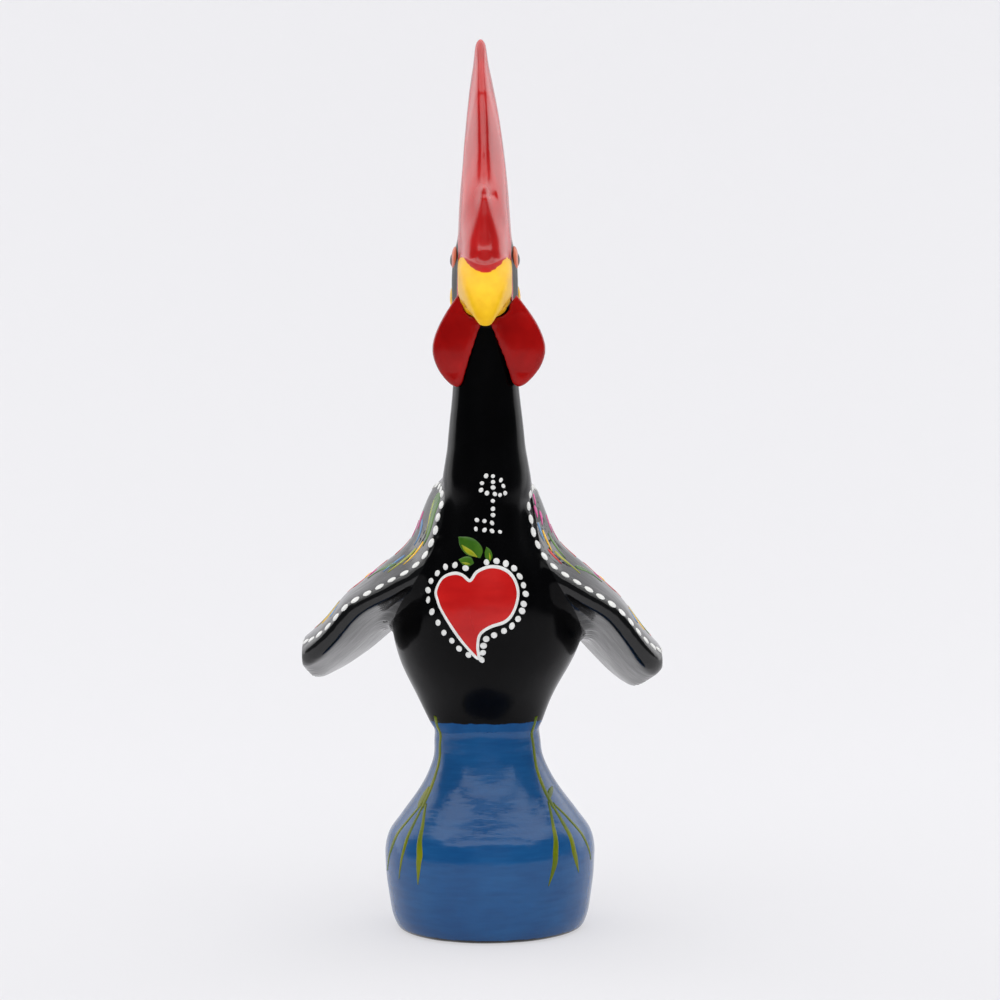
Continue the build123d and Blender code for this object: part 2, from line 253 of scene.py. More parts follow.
thrown = node_mesh("foot")
wall = BVHTree.FromBMesh(thrown)
thrown.free()
turned = []
for height, radius in eased(bell, 8)[1:-1]:
    plain = wall.ray_cast(Vector((0.1, 0, height * mm)), Vector((-1, 0, 0)))[0].x / mm
    turned.append((height, radius / plain))


def pulled(up):
    """How much wider the potter has pulled the foot at one height than the plain bell."""
    for low, high in zip(turned, turned[1:]):
        if low[0] <= up <= high[0]:
            share = (up - low[0]) / (high[0] - low[0])
            return 1 + (low[1] + (high[1] - low[1]) * share - 1) * ease(up, 0, 6) * ease(up, 62, 56)
    return 1.0


for v in clay.verts:
    up = v.co.z / mm
    if v.co.x < 0:
        v.co.x *= 1 + waist_fuller * math.exp(-(((up - waist_up) / waist_reach) ** 2))
    flare = pulled(up)
    v.co.x *= flare
    v.co.y *= flare

# Skin of the whole bird: fingers and sponge leave it a little uneven under the paint.
# It is cut along the middle of each joint, so every piece keeps its own name and its own paint.
luted = {
    "foot": ["foot"],
    "body": ["body_left", "body_right"],
    "wing_left": ["wing_left"],
    "wing_right": ["wing_right"],
    "tail": ["tail"],
    "comb": ["comb"],
    "beak_upper": ["beak_upper"],
}


def knead(lump_mesh, height, size):
    """Uneven skin, kept a hair inside the modelled box and flat underneath."""
    lump_mesh.normal_update()
    low, high = cad_box
    low_room, high_room = (0.8 * mm, 0.4 * mm, 0), (0.8 * mm, 0.4 * mm, 0.4 * mm)
    for v in lump_mesh.verts:
        swell = noise.noise(v.co / size) + 0.35 * noise.noise(v.co * (3.1 / size))
        moved = v.co + v.normal * height * swell
        v.co = Vector(max(low[i] + low_room[i], min(high[i] - high_room[i], moved[i])) for i in range(3))


knead(clay, 0.16 * mm, 22 * mm)
trees = []
for names in luted.values():
    solid = node_mesh(*names)
    trees.append(BVHTree.FromBMesh(solid))
    solid.free()


def gaps(point):
    """Distance from a point of the skin to each modelled piece."""
    return [tree.find_nearest(point)[3] for tree in trees]


gap = {v: gaps(v.co) for v in clay.verts}
for number in range(len(trees)):
    side = {v: g[number] - min(g[:number] + g[number + 1:]) for v, g in gap.items()}
    line = set()
    for edge in [e for e in clay.edges if side[e.verts[0]] * side[e.verts[1]] < 0]:
        start, end = edge.verts
        spot = bmesh.utils.edge_split(edge, start, side[start] / (side[start] - side[end]))[1]
        gap[spot] = gaps(spot.co)
        line.add(spot)
    for face in {f for v in line for f in v.link_faces}:
        ends = [v for v in face.verts if v in line]
        if len(ends) == 2 and not any(e in ends[1].link_edges for e in ends[0].link_edges):
            bmesh.utils.face_split(face, *ends)
clay.normal_update()
skin = BVHTree.FromBMesh(clay)
owner = {}
for face in clay.faces:
    sums = [sum(gap[v][number] for v in face.verts) for number in range(len(trees))]
    owner[face] = list(luted)[sums.index(min(sums))]

# Foot: a thrown bell of red earthenware, hollow and open below, with a flat ring to stand on.
# It is brushed all over with blue enamel, in strokes that go round it, and a narrow band along its lowest
# edge is near black.
blue_deep, blue_light = (0.005, 0.064, 0.205), (0.009, 0.090, 0.258)
sole_deep, sole_light = (0.002, 0.002, 0.003), (0.004, 0.004, 0.005)
sole_up = 1.2 * mm


def take(piece):
    """One piece of the skin as a closed object, shaded as part of the whole."""
    cut = bmesh.new()
    twin = {}
    for face in clay.faces:
        if owner[face] == piece:
            for v in face.verts:
                if v not in twin:
                    twin[v] = cut.verts.new(v.co)
            cut.faces.new([twin[v] for v in face.verts]).smooth = True
    outside = len(cut.faces)
    rims = [e for e in cut.edges if e.is_boundary]
    bmesh.ops.triangulate(cut, faces=bmesh.ops.holes_fill(cut, edges=rims, sides=0)["faces"])
    mesh = bpy.data.meshes.new(piece)
    cut.to_mesh(mesh)
    cut.free()
    shade = [v.normal.copy() for v in twin]
    normals = []
    for face in mesh.polygons:
        seen = face.index < outside
        normals += [shade[v] if seen and v < len(shade) else Vector((0, 0, 0)) for v in face.vertices]
    mesh.normals_split_custom_set(normals)
    thing = bpy.data.objects.new(piece, mesh)
    bpy.context.scene.collection.objects.link(thing)
    return thing


def enamel(name, deep, light, brush, gloss, relief, mirror=0.3, slope=0):
    """Gloss enamel laid on with a soft brush: two tones, brush marks and small lumps.

    The brush says how many marks fall to a metre along each axis, and slope tilts them to follow both wings.
    """
    paint = bpy.data.materials.new(name)
    paint.use_nodes = True
    nodes, links = paint.node_tree.nodes, paint.node_tree.links
    shader = nodes["Principled BSDF"]
    shader.inputs["Specular IOR Level"].default_value = mirror
    place = nodes.new("ShaderNodeTexCoord")
    stretch = nodes.new("ShaderNodeMapping")
    stretch.vector_type = "TEXTURE"
    stretch.inputs["Rotation"].default_value = (0, math.radians(slope), 0)
    stretch.inputs["Scale"].default_value = [1 / side for side in brush]
    brushed = place.outputs["Object"]
    if slope:
        fold = nodes.new("ShaderNodeVectorMath")
        fold.operation = "ABSOLUTE"
        links.new(brushed, fold.inputs[0])
        brushed = fold.outputs[0]
    links.new(brushed, stretch.inputs["Vector"])
    marks = nodes.new("ShaderNodeTexNoise")
    marks.inputs["Scale"].default_value = 1.0
    marks.inputs["Detail"].default_value = 3.0
    links.new(stretch.outputs["Vector"], marks.inputs["Vector"])
    cloud = nodes.new("ShaderNodeTexNoise")
    cloud.inputs["Scale"].default_value = 70.0
    cloud.inputs["Detail"].default_value = 4.0
    links.new(place.outputs["Object"], cloud.inputs["Vector"])
    blend = nodes.new("ShaderNodeMath")
    blend.operation = "MULTIPLY"
    links.new(marks.outputs["Fac"], blend.inputs[0])
    links.new(cloud.outputs["Fac"], blend.inputs[1])
    tones = nodes.new("ShaderNodeValToRGB")
    tones.color_ramp.elements[0].position = 0.12
    tones.color_ramp.elements[0].color = (*deep, 1)
    tones.color_ramp.elements[1].position = 0.42
    tones.color_ramp.elements[1].color = (*light, 1)
    links.new(blend.outputs[0], tones.inputs["Fac"])
    links.new(tones.outputs["Color"], shader.inputs["Base Color"])
    rough = nodes.new("ShaderNodeMapRange")
    rough.inputs["From Min"].default_value = 0.3
    rough.inputs["From Max"].default_value = 0.7
    rough.inputs["To Min"].default_value = gloss[0]
    rough.inputs["To Max"].default_value = gloss[1]
    links.new(cloud.outputs["Fac"], rough.inputs["Value"])
    links.new(rough.outputs["Result"], shader.inputs["Roughness"])
    ridges = nodes.new("ShaderNodeBump")
    ridges.inputs["Strength"].default_value = relief
    ridges.inputs["Distance"].default_value = 0.1 * mm
    links.new(marks.outputs["Fac"], ridges.inputs["Height"])
    lumps = nodes.new("ShaderNodeBump")
    lumps.inputs["Strength"].default_value = relief
    lumps.inputs["Distance"].default_value = 0.5 * mm
    links.new(cloud.outputs["Fac"], lumps.inputs["Height"])
    links.new(ridges.outputs["Normal"], lumps.inputs["Normal"])
    links.new(lumps.outputs["Normal"], shader.inputs["Normal"])
    return paint


def set_on(thing, paint, slot, *nodes):
    """Paints a piece and sets it on the bird in place of its modelled nodes."""
    thing.data.materials.append(paint)
    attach(thing, "root")
    if nodes:
        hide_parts(*nodes)
    return thing


def second_paint(paint, deep, light, edge, bow, wander, above):
    """A second colour that laps over the first along a level edge, bowed across the front."""
    nodes, links = paint.node_tree.nodes, paint.node_tree.links
    place = nodes.new("ShaderNodeTexCoord")
    split = nodes.new("ShaderNodeSeparateXYZ")
    links.new(place.outputs["Object"], split.inputs[0])
    across = nodes.new("ShaderNodeMath")
    across.operation = "MULTIPLY"
    links.new(split.outputs["X"], across.inputs[0])
    links.new(split.outputs["X"], across.inputs[1])
    bend = nodes.new("ShaderNodeMath")
    bend.operation = "MULTIPLY_ADD"
    bend.inputs[1].default_value = -bow
    links.new(across.outputs[0], bend.inputs[0])
    links.new(split.outputs["Z"], bend.inputs[2])
    ragged = nodes.new("ShaderNodeTexNoise")
    ragged.inputs["Scale"].default_value = 330.0
    links.new(place.outputs["Object"], ragged.inputs["Vector"])
    height = nodes.new("ShaderNodeMath")
    height.operation = "MULTIPLY_ADD"
    height.inputs[1].default_value = wander
    links.new(ragged.outputs["Fac"], height.inputs[0])
    links.new(bend.outputs[0], height.inputs[2])
    brink = nodes.new("ShaderNodeMapRange")
    middle = edge + wander / 2
    brink.inputs["From Min"].default_value = middle - 0.12 * mm
    brink.inputs["From Max"].default_value = middle + 0.12 * mm
    brink.inputs["To Min"].default_value = 0.0 if above else 1.0
    brink.inputs["To Max"].default_value = 1.0 if above else 0.0
    links.new(height.outputs[0], brink.inputs["Value"])
    tones = nodes["Color Ramp"]
    other = nodes.new("ShaderNodeValToRGB")
    other.color_ramp.elements[0].position = 0.12
    other.color_ramp.elements[0].color = (*deep, 1)
    other.color_ramp.elements[1].position = 0.42
    other.color_ramp.elements[1].color = (*light, 1)
    links.new(tones.inputs["Fac"].links[0].from_socket, other.inputs["Fac"])
    mix = nodes.new("ShaderNodeMix")
    mix.data_type = "RGBA"
    links.new(brink.outputs[0], mix.inputs["Factor"])
    links.new(tones.outputs["Color"], mix.inputs[6])
    links.new(other.outputs["Color"], mix.inputs[7])
    links.new(mix.outputs[2], nodes["Principled BSDF"].inputs["Base Color"])


blue_enamel = enamel("blue_enamel", blue_deep, blue_light, (110, 110, 700), (0.12, 0.24), 0.8, 0.4)
second_paint(blue_enamel, sole_deep, sole_light, sole_up, 0.0, 0.6 * mm, False)
set_on(take("foot"), blue_enamel, "blue_enamel", "foot")

# Body: two pressed halves of one shell, luted along the middle and covered in black enamel.
# The blue of the foot laps a little way up over the joint.
black_deep, black_light = (0.0007, 0.0007, 0.0009), (0.0018, 0.0018, 0.0021)
black_brush, black_gloss = (200, 200, 26), (0.10, 0.20)
blue_lap_up = 63.5 * mm
body_enamel = enamel("body_enamel", black_deep, black_light, black_brush, black_gloss, 0.2, 0.1)
second_paint(body_enamel, blue_deep, blue_light, blue_lap_up, 0.0, 1.0 * mm, False)
set_on(take("body"), body_enamel, "black_enamel", "body_left", "body_right")

# Wings: two thick petals that hang from the root of the neck like a cape.
# They are luted to the body along their inner edge and painted black with it.
black_enamel = enamel("black_enamel", black_deep, black_light, (24, 320, 320), black_gloss, 0.7, 0.55, 45)
for name in ("wing_left", "wing_right"):
    set_on(take(name), black_enamel, "black_enamel", name)

# Tail: a scalloped slab of clay that stands up behind, luted to the back along its lower edge.
# It is painted in the same black as the wings.
set_on(take("tail"), black_enamel, "black_enamel", "tail")

# Comb: tall leaning flames of clay in one piece, luted to the crown of the head.
# It is covered in one thick coat of red gloss enamel.
red_deep, red_light = (0.40, 0.003, 0.003), (0.60, 0.007, 0.007)
red_enamel = enamel("red_enamel", red_deep, red_light, (160, 160, 50), (0.16, 0.28), 0.3, 0.78)
set_on(take("comb"), red_enamel, "red_enamel", "comb")

# Beak: a broad hooked upper bill let into the front of the head, and a short lower one, in yellow enamel.
# The red of the comb runs down over the root of the upper bill.
comb_red_up, comb_red_bow = 195.9 * mm, 130.0
yellow_deep, yellow_light = (0.84, 0.45, 0.010), (0.95, 0.57, 0.018)
beak_enamel = enamel("beak_enamel", yellow_deep, yellow_light, (300, 40, 300), (0.3, 0.45), 0.5, 0.15)
second_paint(beak_enamel, red_deep, red_light, comb_red_up, comb_red_bow, 1.6 * mm, True)
set_on(take("beak_upper"), beak_enamel, "yellow_enamel", "beak_upper")


def placed(name, shape):
    """A new object in the scene with this mesh."""
    for face in shape.faces:
        face.smooth = True
    mesh = bpy.data.meshes.new(name)
    shape.to_mesh(mesh)
    shape.free()
    thing = bpy.data.objects.new(name, mesh)
    bpy.context.scene.collection.objects.link(thing)
    return thing


def pellet(name, grain, rounds):
    """A small pressed-on piece with its edges softened by the fingers."""
    fine = ("REMESH", {"mode": "VOXEL", "voxel_size": grain, "use_smooth_shade": True})
    lump = worked(node_mesh(name), fine, ("SMOOTH", {"factor": 0.5, "iterations": rounds}))
    knead(lump, 0.06 * mm, 6 * mm)
    return placed(name, lump)


yellow_enamel = enamel("yellow_enamel", yellow_deep, yellow_light, (300, 300, 300), (0.2, 0.34), 0.3, 0.2)
set_on(pellet("beak_lower", 0.4 * mm, 6), yellow_enamel, "yellow_enamel", "beak_lower")

# Wattles: two drop-shaped slabs of clay that hang under the bill, luted to the throat by their upper ends.
# They are domed with the thumb, and the left one came out broader; their darker red is painted shade under
# the bill.
shaded_wattle_deep, shaded_wattle_light = (0.26, 0.002, 0.002), (0.42, 0.005, 0.004)
dome_height, dome_reach = 1.3 * mm, 9 * mm
shaded_wattle_enamel = enamel("shaded_wattle_enamel", shaded_wattle_deep, shaded_wattle_light, (120, 120, 120), (0.14, 0.26), 0.35, 0.2)
for name, stretch in (("wattle_left", 1.12), ("wattle_right", 1.0)):
    wattle = set_on(pellet(name, 0.4 * mm, 26), shaded_wattle_enamel, "red_enamel", name)
    points = wattle.data.vertices
    middle = sum((v.co for v in points), Vector()) / len(points)
    faced = [v.normal.y for v in points]
    for v, facing in zip(points, faced):
        full = max(0.0, 1 - ((v.co - middle).length / dome_reach) ** 2)
        v.co.y += dome_height * full * max(-1.0, min(1.0, 2 * facing))
        v.co.x *= stretch

# Eyes: flat round pellets of clay, pressed on the sides of the head.
# They are painted salmon, with a black pupil set in the middle by one touch of the brush.
eye_sink = 0.4 * mm
pupil_radius = 2.1 * mm
salmon_deep, salmon_light = (0.55, 0.10, 0.045), (0.72, 0.19, 0.10)
eye_enamel = enamel("eye_enamel", salmon_deep, salmon_light, (300, 300, 300), (0.14, 0.26), 0.3)
nodes, links = eye_enamel.node_tree.nodes, eye_enamel.node_tree.links
eye_low, eye_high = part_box("eye_left")
spot = nodes.new("ShaderNodeTexCoord")
level = nodes.new("ShaderNodeVectorMath")
level.operation = "MULTIPLY"
level.inputs[1].default_value = (0, 1, 1)
links.new(spot.outputs["Object"], level.inputs[0])
reach = nodes.new("ShaderNodeVectorMath")
reach.operation = "DISTANCE"
reach.inputs[1].default_value = (0, (eye_low.y + eye_high.y) / 2, (eye_low.z + eye_high.z) / 2)
links.new(level.outputs[0], reach.inputs[0])
pupil = nodes.new("ShaderNodeMapRange")
pupil.inputs["From Min"].default_value = pupil_radius - 0.1 * mm
pupil.inputs["From Max"].default_value = pupil_radius + 0.1 * mm
links.new(reach.outputs["Value"], pupil.inputs["Value"])
iris = nodes.new("ShaderNodeMix")
iris.data_type = "RGBA"
iris.inputs[6].default_value = (*black_light, 1)
links.new(pupil.outputs[0], iris.inputs["Factor"])
links.new(nodes["Color Ramp"].outputs["Color"], iris.inputs[7])
links.new(iris.outputs[2], nodes["Principled BSDF"].inputs["Base Color"])
for name, side in (("eye_left", 1), ("eye_right", -1)):
    eye = set_on(pellet(name, 0.2 * mm, 3), eye_enamel, "eye_enamel", name)
    for v in eye.data.vertices:
        v.co.x -= side * eye_sink

# Ears: oval pellets of clay, pressed on the head under the eyes.
# They are painted in the yellow of the lower bill.
for name in ("ear_left", "ear_right"):
    set_on(pellet(name, 0.2 * mm, 4), yellow_enamel, "ear_enamel", name)

# Heart on the breast: thick red enamel inside a white line, both laid on with a round brush.
# The tip of the heart is swept to one side.
random.seed(7)
white_deep, white_light = (0.70, 0.70, 0.68), (0.86, 0.86, 0.84)
heart_deep, heart_light = (0.46, 0.006, 0.006), (0.60, 0.012, 0.010)
white_enamel = enamel("white_enamel", white_deep, white_light, (500, 500, 500), (0.2, 0.34), 0.3)
heart_enamel = enamel("heart_enamel", heart_deep, heart_light, (90, 90, 320), (0.16, 0.28), 0.3)
pool_section = ((0.25, 1), (0.5, 1), (0.7, 1), (0.85, 1), (0.94, 0.8), (0.98, 0.45), (1.0, -0.6), (0.8, -2))
stroke_section = ((-1, -0.6), (-0.85, 0.5), (-0.5, 0.9), (0, 1), (0.5, 0.9), (0.85, 0.5), (1, -0.6), (0, -2))
heart_middle = (-5.8, 101.0)
heart_line = [
    (-5.1, 107.4), (-7.4, 109.0), (-10.0, 109.4), (-13.2, 107.9), (-15.1, 104.3), (-14.7, 101.6),
    (-13.4, 98.4), (-9.6, 92.3), (-6.3, 88.0), (-2.9, 84.5), (-3.1, 88.0), (-2.4, 91.7),
    (0.5, 93.9), (5.2, 95.6), (7.7, 98.9), (8.8, 103.8), (7.4, 108.2), (4.6, 110.7),
    (0.7, 111.4), (-3.1, 109.9),
]


def on_breast(spot):
    """Where a brush that comes straight from the front touches the bird."""
    return skin.ray_cast(Vector((spot[0] * mm, -0.2, spot[1] * mm)), Vector((0, 1, 0)))[:2]


def pool(shape, touch, middle, line, height):
    """A flat pool of paint inside a closed line, rounded down at its rim."""
    outline = eased(line, 6, True)
    rings = []
    for share, lift in pool_section:
        ring = []
        for spot in outline:
            point, normal = touch(Vector(middle).lerp(spot, share))
            ring.append(shape.verts.new(point + normal * height * lift))
        rings.append(ring)
    for near, far in zip(rings, rings[1:]):
        for number in range(len(outline)):
            after = (number + 1) % len(outline)
            shape.faces.new((near[number], near[after], far[after], far[number]))
    point, normal = touch(Vector(middle))
    crown = shape.verts.new(point + normal * height)
    floor = shape.verts.new(point - normal * 2 * height)
    for number in range(len(outline)):
        after = (number + 1) % len(outline)
        shape.faces.new((crown, rings[0][after], rings[0][number]))
        shape.faces.new((floor, rings[-1][number], rings[-1][after]))


def stroke(shape, touch, line, height, steps=6, closed=False):
    """One brush stroke along a line of spots, each with the width of the brush there."""
    path = eased(line, steps, closed)
    touched = [touch(p) for p in path]
    sections = []
    for number, (point, normal) in enumerate(touched):
        ahead = touched[(number + 1) % len(path) if closed else min(number + 1, len(path) - 1)][0]
        behind = touched[number - 1 if closed else max(number - 1, 0)][0]
        across = (ahead - behind).cross(normal).normalized()
        half = max(path[number][2], 0.08) * mm / 2
        section = []
        for share, lift in stroke_section:
            spot, lean = skin.find_nearest(point + across * half * share)[:2]
            section.append(shape.verts.new(spot + lean * height * lift))
        sections.append(section)
    pairs = list(zip(sections, sections[1:] + sections[:1]))
    for near, far in pairs if closed else pairs[:-1]:
        for number in range(len(near)):
            after = (number + 1) % len(near)
            shape.faces.new((near[number], near[after], far[after], far[number]))
    if not closed:
        shape.faces.new(sections[0][::-1])
        shape.faces.new(sections[-1])


heart = bmesh.new()
pool(heart, on_breast, heart_middle, heart_line, 0.12 * mm)
set_on(placed("heart", heart), heart_enamel, "red_enamel")
rim = bmesh.new()
rim_line = [(*spot, 0.95 + 0.25 * random.random()) for spot in heart_line]
stroke(rim, on_breast, rim_line, 0.24 * mm, 6, True)
set_on(placed("heart_rim", rim), white_enamel, None)

# White dots: pressed on with the butt of a brush handle, so each is a low round bead of paint.
# They ring the heart and draw a small key above it.
heart_dots = [
    (-12.3, 111.2), (-9.5, 111.8), (-6.4, 111.0), (-0.3, 112.7), (2.6, 113.0), (5.3, 112.2), (7.7, 110.8),
    (9.3, 108.4), (10.4, 105.8), (11.0, 103.3), (10.4, 100.4), (9.9, 98.4), (8.7, 96.1), (6.9, 94.1),
    (4.6, 92.7), (1.7, 91.5), (-0.6, 90.4), (-1.4, 88.4), (-1.6, 86.3), (-2.0, 84.2), (-14.7, 109.3),
    (-16.6, 107.0), (-17.5, 104.3), (-17.5, 101.5), (-16.4, 98.1), (-14.6, 95.0), (-12.9, 92.1),
    (-10.6, 89.8), (-8.5, 87.5), (-5.8, 85.6),
]
key_dots = [
    (-0.2, 137.7), (1.8, 137.6), (4.1, 136.4), (4.8, 134.7), (5.3, 132.6), (3.8, 132.1), (2.3, 132.4),
    (0.0, 132.7), (-1.7, 133.6), (-1.4, 135.6), (1.8, 135.9), (1.8, 134.3), (1.7, 130.4), (1.7, 128.1),
    (1.7, 126.3), (-3.0, 124.9), (-0.8, 124.6), (1.4, 124.0), (-3.3, 122.3), (-0.8, 122.0), (1.4, 121.7),
    (3.7, 121.4),
]


def dab(shape, point, normal, along, length, width, height):
    """One low bead of paint, longer along one way."""
    across = normal.cross(along).normalized()
    along = across.cross(normal)
    turn = 16
    rings = []
    for share, lift in ((0.35, 0.95), (0.65, 0.8), (0.88, 0.5), (1.0, 0.0), (0.9, -0.8)):
        ring = []
        for number in range(turn):
            angle = 2 * math.pi * number / turn
            flat = along * math.cos(angle) * length / 2 + across * math.sin(angle) * width / 2
            ring.append(shape.verts.new(point + flat * share + normal * height * lift))
        rings.append(ring)
    crown = shape.verts.new(point + normal * height)
    for number in range(turn):
        after = (number + 1) % turn
        shape.faces.new((crown, rings[0][number], rings[0][after]))
        for near, far in zip(rings, rings[1:]):
            shape.faces.new((near[number], far[number], far[after], near[after]))
    shape.faces.new(rings[-1][::-1])


for name, spots, size in (("heart_dots", heart_dots, 2.0), ("key_dots", key_dots, 1.35)):
    beads = bmesh.new()
    for spot in spots:
        point, normal = on_breast(spot)
        lean = Vector((random.uniform(-1, 1), 0, random.uniform(-1, 1)))
        length = size * random.uniform(0.92, 1.15) * mm
        width = size * random.uniform(0.82, 0.98) * mm
        dab(beads, point, normal, lean, length, width, 0.3 * mm)
    set_on(placed(name, beads), white_enamel, None)

# Leaves over the heart: three pressed strokes of green, with a lick of yellow laid over each.
# They are painted straight on the black with a pointed brush.
green_deep, green_light = (0.022, 0.090, 0.006), (0.080, 0.200, 0.010)
lick_deep, lick_light = (0.20, 0.26, 0.008), (0.46, 0.42, 0.012)
green_enamel = enamel("green_enamel", green_deep, green_light, (200, 200, 200), (0.2, 0.32), 0.3)
leaf_yellow = enamel("leaf_yellow", lick_deep, lick_light, (300, 300, 300), (0.2, 0.32), 0.3)
leaf_lines = [
    [(-8.3, 119.9, 0.4), (-7.0, 118.6, 3.8), (-5.0, 117.2, 5.4), (-3.0, 115.6, 4.2), (-2.2, 113.9, 0.3)],
    [(-8.3, 113.4, 0.3), (-6.8, 113.1, 2.8), (-5.2, 112.8, 3.0), (-4.0, 112.4, 0.3)],
    [(-0.3, 117.1, 0.2), (0.1, 115.8, 2.0), (0.4, 114.2, 2.3), (0.5, 112.7, 0.3)],
]
lick_lines = [
    [(-7.4, 117.6, 0.3), (-6.2, 116.4, 1.5), (-4.6, 115.3, 1.7), (-3.0, 114.2, 0.3)],
    [(-7.4, 112.6, 0.2), (-6.2, 112.3, 0.9), (-5.0, 112.2, 0.2)],
    [(0.5, 115.4, 0.2), (0.7, 114.2, 0.6), (0.7, 113.2, 0.2)],
]
leaves = bmesh.new()
for line in leaf_lines:
    stroke(leaves, on_breast, line, 0.16 * mm)
set_on(placed("leaves", leaves), green_enamel, None)
licks = bmesh.new()
for line in lick_lines:
    stroke(licks, on_breast, line, 0.26 * mm)
set_on(placed("leaf_licks", licks), leaf_yellow, None)

# Wing borders: a row of white dabs all round the upper face of each wing, a little in from its edge.
# Spots on a wing are measured down its slope from the root of the neck, and back from its middle.
border = [
    (3.0, -18.2), (9.0, -21.8), (14.1, -22.9), (19.4, -23.7), (30.3, -25.0), (41.2, -25.4), (49.4, -23.9),
    (57.0, -21.2), (62.4, -15.8), (65.0, -6.0), (65.0, 8.0), (62.6, 20.0), (57.0, 28.6), (49.4, 30.6),
    (41.2, 29.2), (30.3, 21.0), (19.4, 11.0), (9.0, 1.4), (3.0, -4.6),
]


def on_wing(side):
    """A brush that comes down square to the slope of one wing."""
    slope = Vector((side, 0, -1)).normalized()
    out = Vector((side, 0, 1)).normalized()

    def touch(spot):
        level = Vector((side * wing_root_out, spot[1], wing_root_up)) + slope * spot[0]
        return skin.ray_cast((level + out * 60) * mm, -out)[:2]

    return touch


for name, side in (("wing_left", 1), ("wing_right", -1)):
    touch = on_wing(side)
    beads = bmesh.new()
    last = None
    for spot in eased(border, 40, True):
        point, normal = touch(spot)
        if last is None or (point - last).length > 3.9 * mm:
            along = point - last if last else Vector((0, 1, 0))
            length = random.uniform(2.8, 3.2) * mm
            width = random.uniform(2.1, 2.4) * mm
            dab(beads, point, normal, along, length, width, 0.3 * mm)
            last = point
    set_on(placed(name + "_border", beads), white_enamel, None)

# Flowers on the wings: comma strokes of bright enamel inside the border, each one press of the brush.
# A round flower stands in the middle, leaves curl up to the neck and long feathers fan out to the tip.
magenta_deep, magenta_light = (0.50, 0.010, 0.160), (0.72, 0.060, 0.340)
sky_deep, sky_light = (0.030, 0.130, 0.320), (0.120, 0.320, 0.560)
magenta_enamel = enamel("magenta_enamel", magenta_deep, magenta_light, (300, 300, 300), (0.2, 0.32), 0.3)
sky_enamel = enamel("sky_enamel", sky_deep, sky_light, (300, 300, 300), (0.2, 0.32), 0.3)
flower_middle = (37.0, 2.5)
petals, petal_reach, petal_heel = 7, 8.0, 2.0
flower_paints = {
    "green": green_enamel,
    "leaf": leaf_yellow,
    "magenta": magenta_enamel,
    "sky": sky_enamel,
    "yellow": yellow_enamel,
    "red": heart_enamel,
    "white": white_enamel,
}


def comma(shape, touch, start, end, width, bend):
    """One comma stroke: it starts as a round press and runs out thin, curving to one side."""
    start, end = Vector(start), Vector(end)
    across = Vector((start.y - end.y, end.x - start.x)) * bend
    widths = (0.5 * width, 0.95 * width, width, 0.6 * width, 0.1)
    line = []
    for share, broad in zip((0.0, 0.12, 0.35, 0.7, 1.0), widths):
        spot = start.lerp(end, share) + across * 4 * share * (1 - share)
        line.append((*spot, broad))
    stroke(shape, touch, line, 0.14 * mm, 5)


neck_commas = {
    "wing_right": [
        ("green", (3.6, -14.0), (18.0, -19.0), 6.2, -0.06), ("leaf", (6.0, -13.6), (15.0, -16.8), 2.2, -0.06),
        ("sky", (13.0, -9.0), (20.0, -12.5), 1.8, -0.1), ("yellow", (17.0, -17.5), (26.0, -18.5), 1.5, 0.08),
        ("leaf", (20.0, -15.5), (31.0, -17.5), 1.8, 0.1), ("sky", (24.0, -12.5), (32.0, -14.5), 1.6, 0.1),
    ],
    "wing_left": [
        ("magenta", (3.6, -13.0), (6.4, -14.4), 2.4, 0.1), ("magenta", (6.2, -15.6), (9.4, -16.6), 2.4, 0.1),
        ("magenta", (8.6, -12.4), (12.0, -14.4), 2.2, 0.1), ("sky", (10.4, -17.4), (15.5, -18.2), 1.7, 0.1),
        ("yellow", (13.0, -15.4), (19.5, -17.2), 1.5, 0.1), ("red", (18.0, -18.6), (24.0, -19.2), 1.6, 0.1),
        ("leaf", (20.0, -15.4), (30.0, -17.4), 1.8, 0.1), ("green", (15.0, -11.5), (24.0, -13.5), 2.4, 0.1),
    ],
}
wing_commas = [
    ("magenta", (11.0, -6.5), (16.0, -7.5), 2.2, 0.1), ("magenta", (14.0, -2.5), (19.0, -4.5), 2.2, 0.1),
    ("red", (20.0, -0.5), (26.5, -3.5), 1.8, 0.1), ("sky", (20.0, 5.5), (29.0, 4.5), 2.0, -0.1),
    ("green", (27.0, 15.0), (37.0, 12.0), 3.0, 0.15), ("green", (28.0, -14.5), (37.0, -9.0), 2.8, 0.15),
    ("yellow", (30.0, 20.0), (40.0, 19.0), 1.8, 0.1),
]
for petal in range(petals):
    angle = 2 * math.pi * petal / petals
    way = Vector((math.cos(angle), math.sin(angle)))
    tip = Vector(flower_middle) + way * petal_reach
    heel = Vector(flower_middle) + way * petal_heel
    wing_commas.append(("magenta" if petal % 2 else "red", tip, heel, 4.2, 0.06))
for feather, colour in enumerate(("sky", "yellow", "green", "red", "white", "green", "yellow", "sky")):
    spread = -15.5 + 5.6 * feather
    tip = (60.0 - 0.02 * (spread - 4) ** 2, spread)
    heel = (48.5, 3.0 + 0.72 * (spread - 3))
    wing_commas.append((colour, tip, heel, 2.6, 0.05))
for name, side in (("wing_left", 1), ("wing_right", -1)):
    touch = on_wing(side)
    for colour, paint in flower_paints.items():
        shape = bmesh.new()
        for tone, start, end, width, bend in neck_commas[name] + wing_commas:
            if tone == colour:
                comma(shape, touch, start, end, width, bend)
        if colour == "yellow":
            point, normal = touch(flower_middle)
            dab(shape, point, normal, Vector((0, 1, 0)), 3.4 * mm, 3.2 * mm, 0.4 * mm)
        set_on(placed(name + "_" + colour, shape), paint, None)

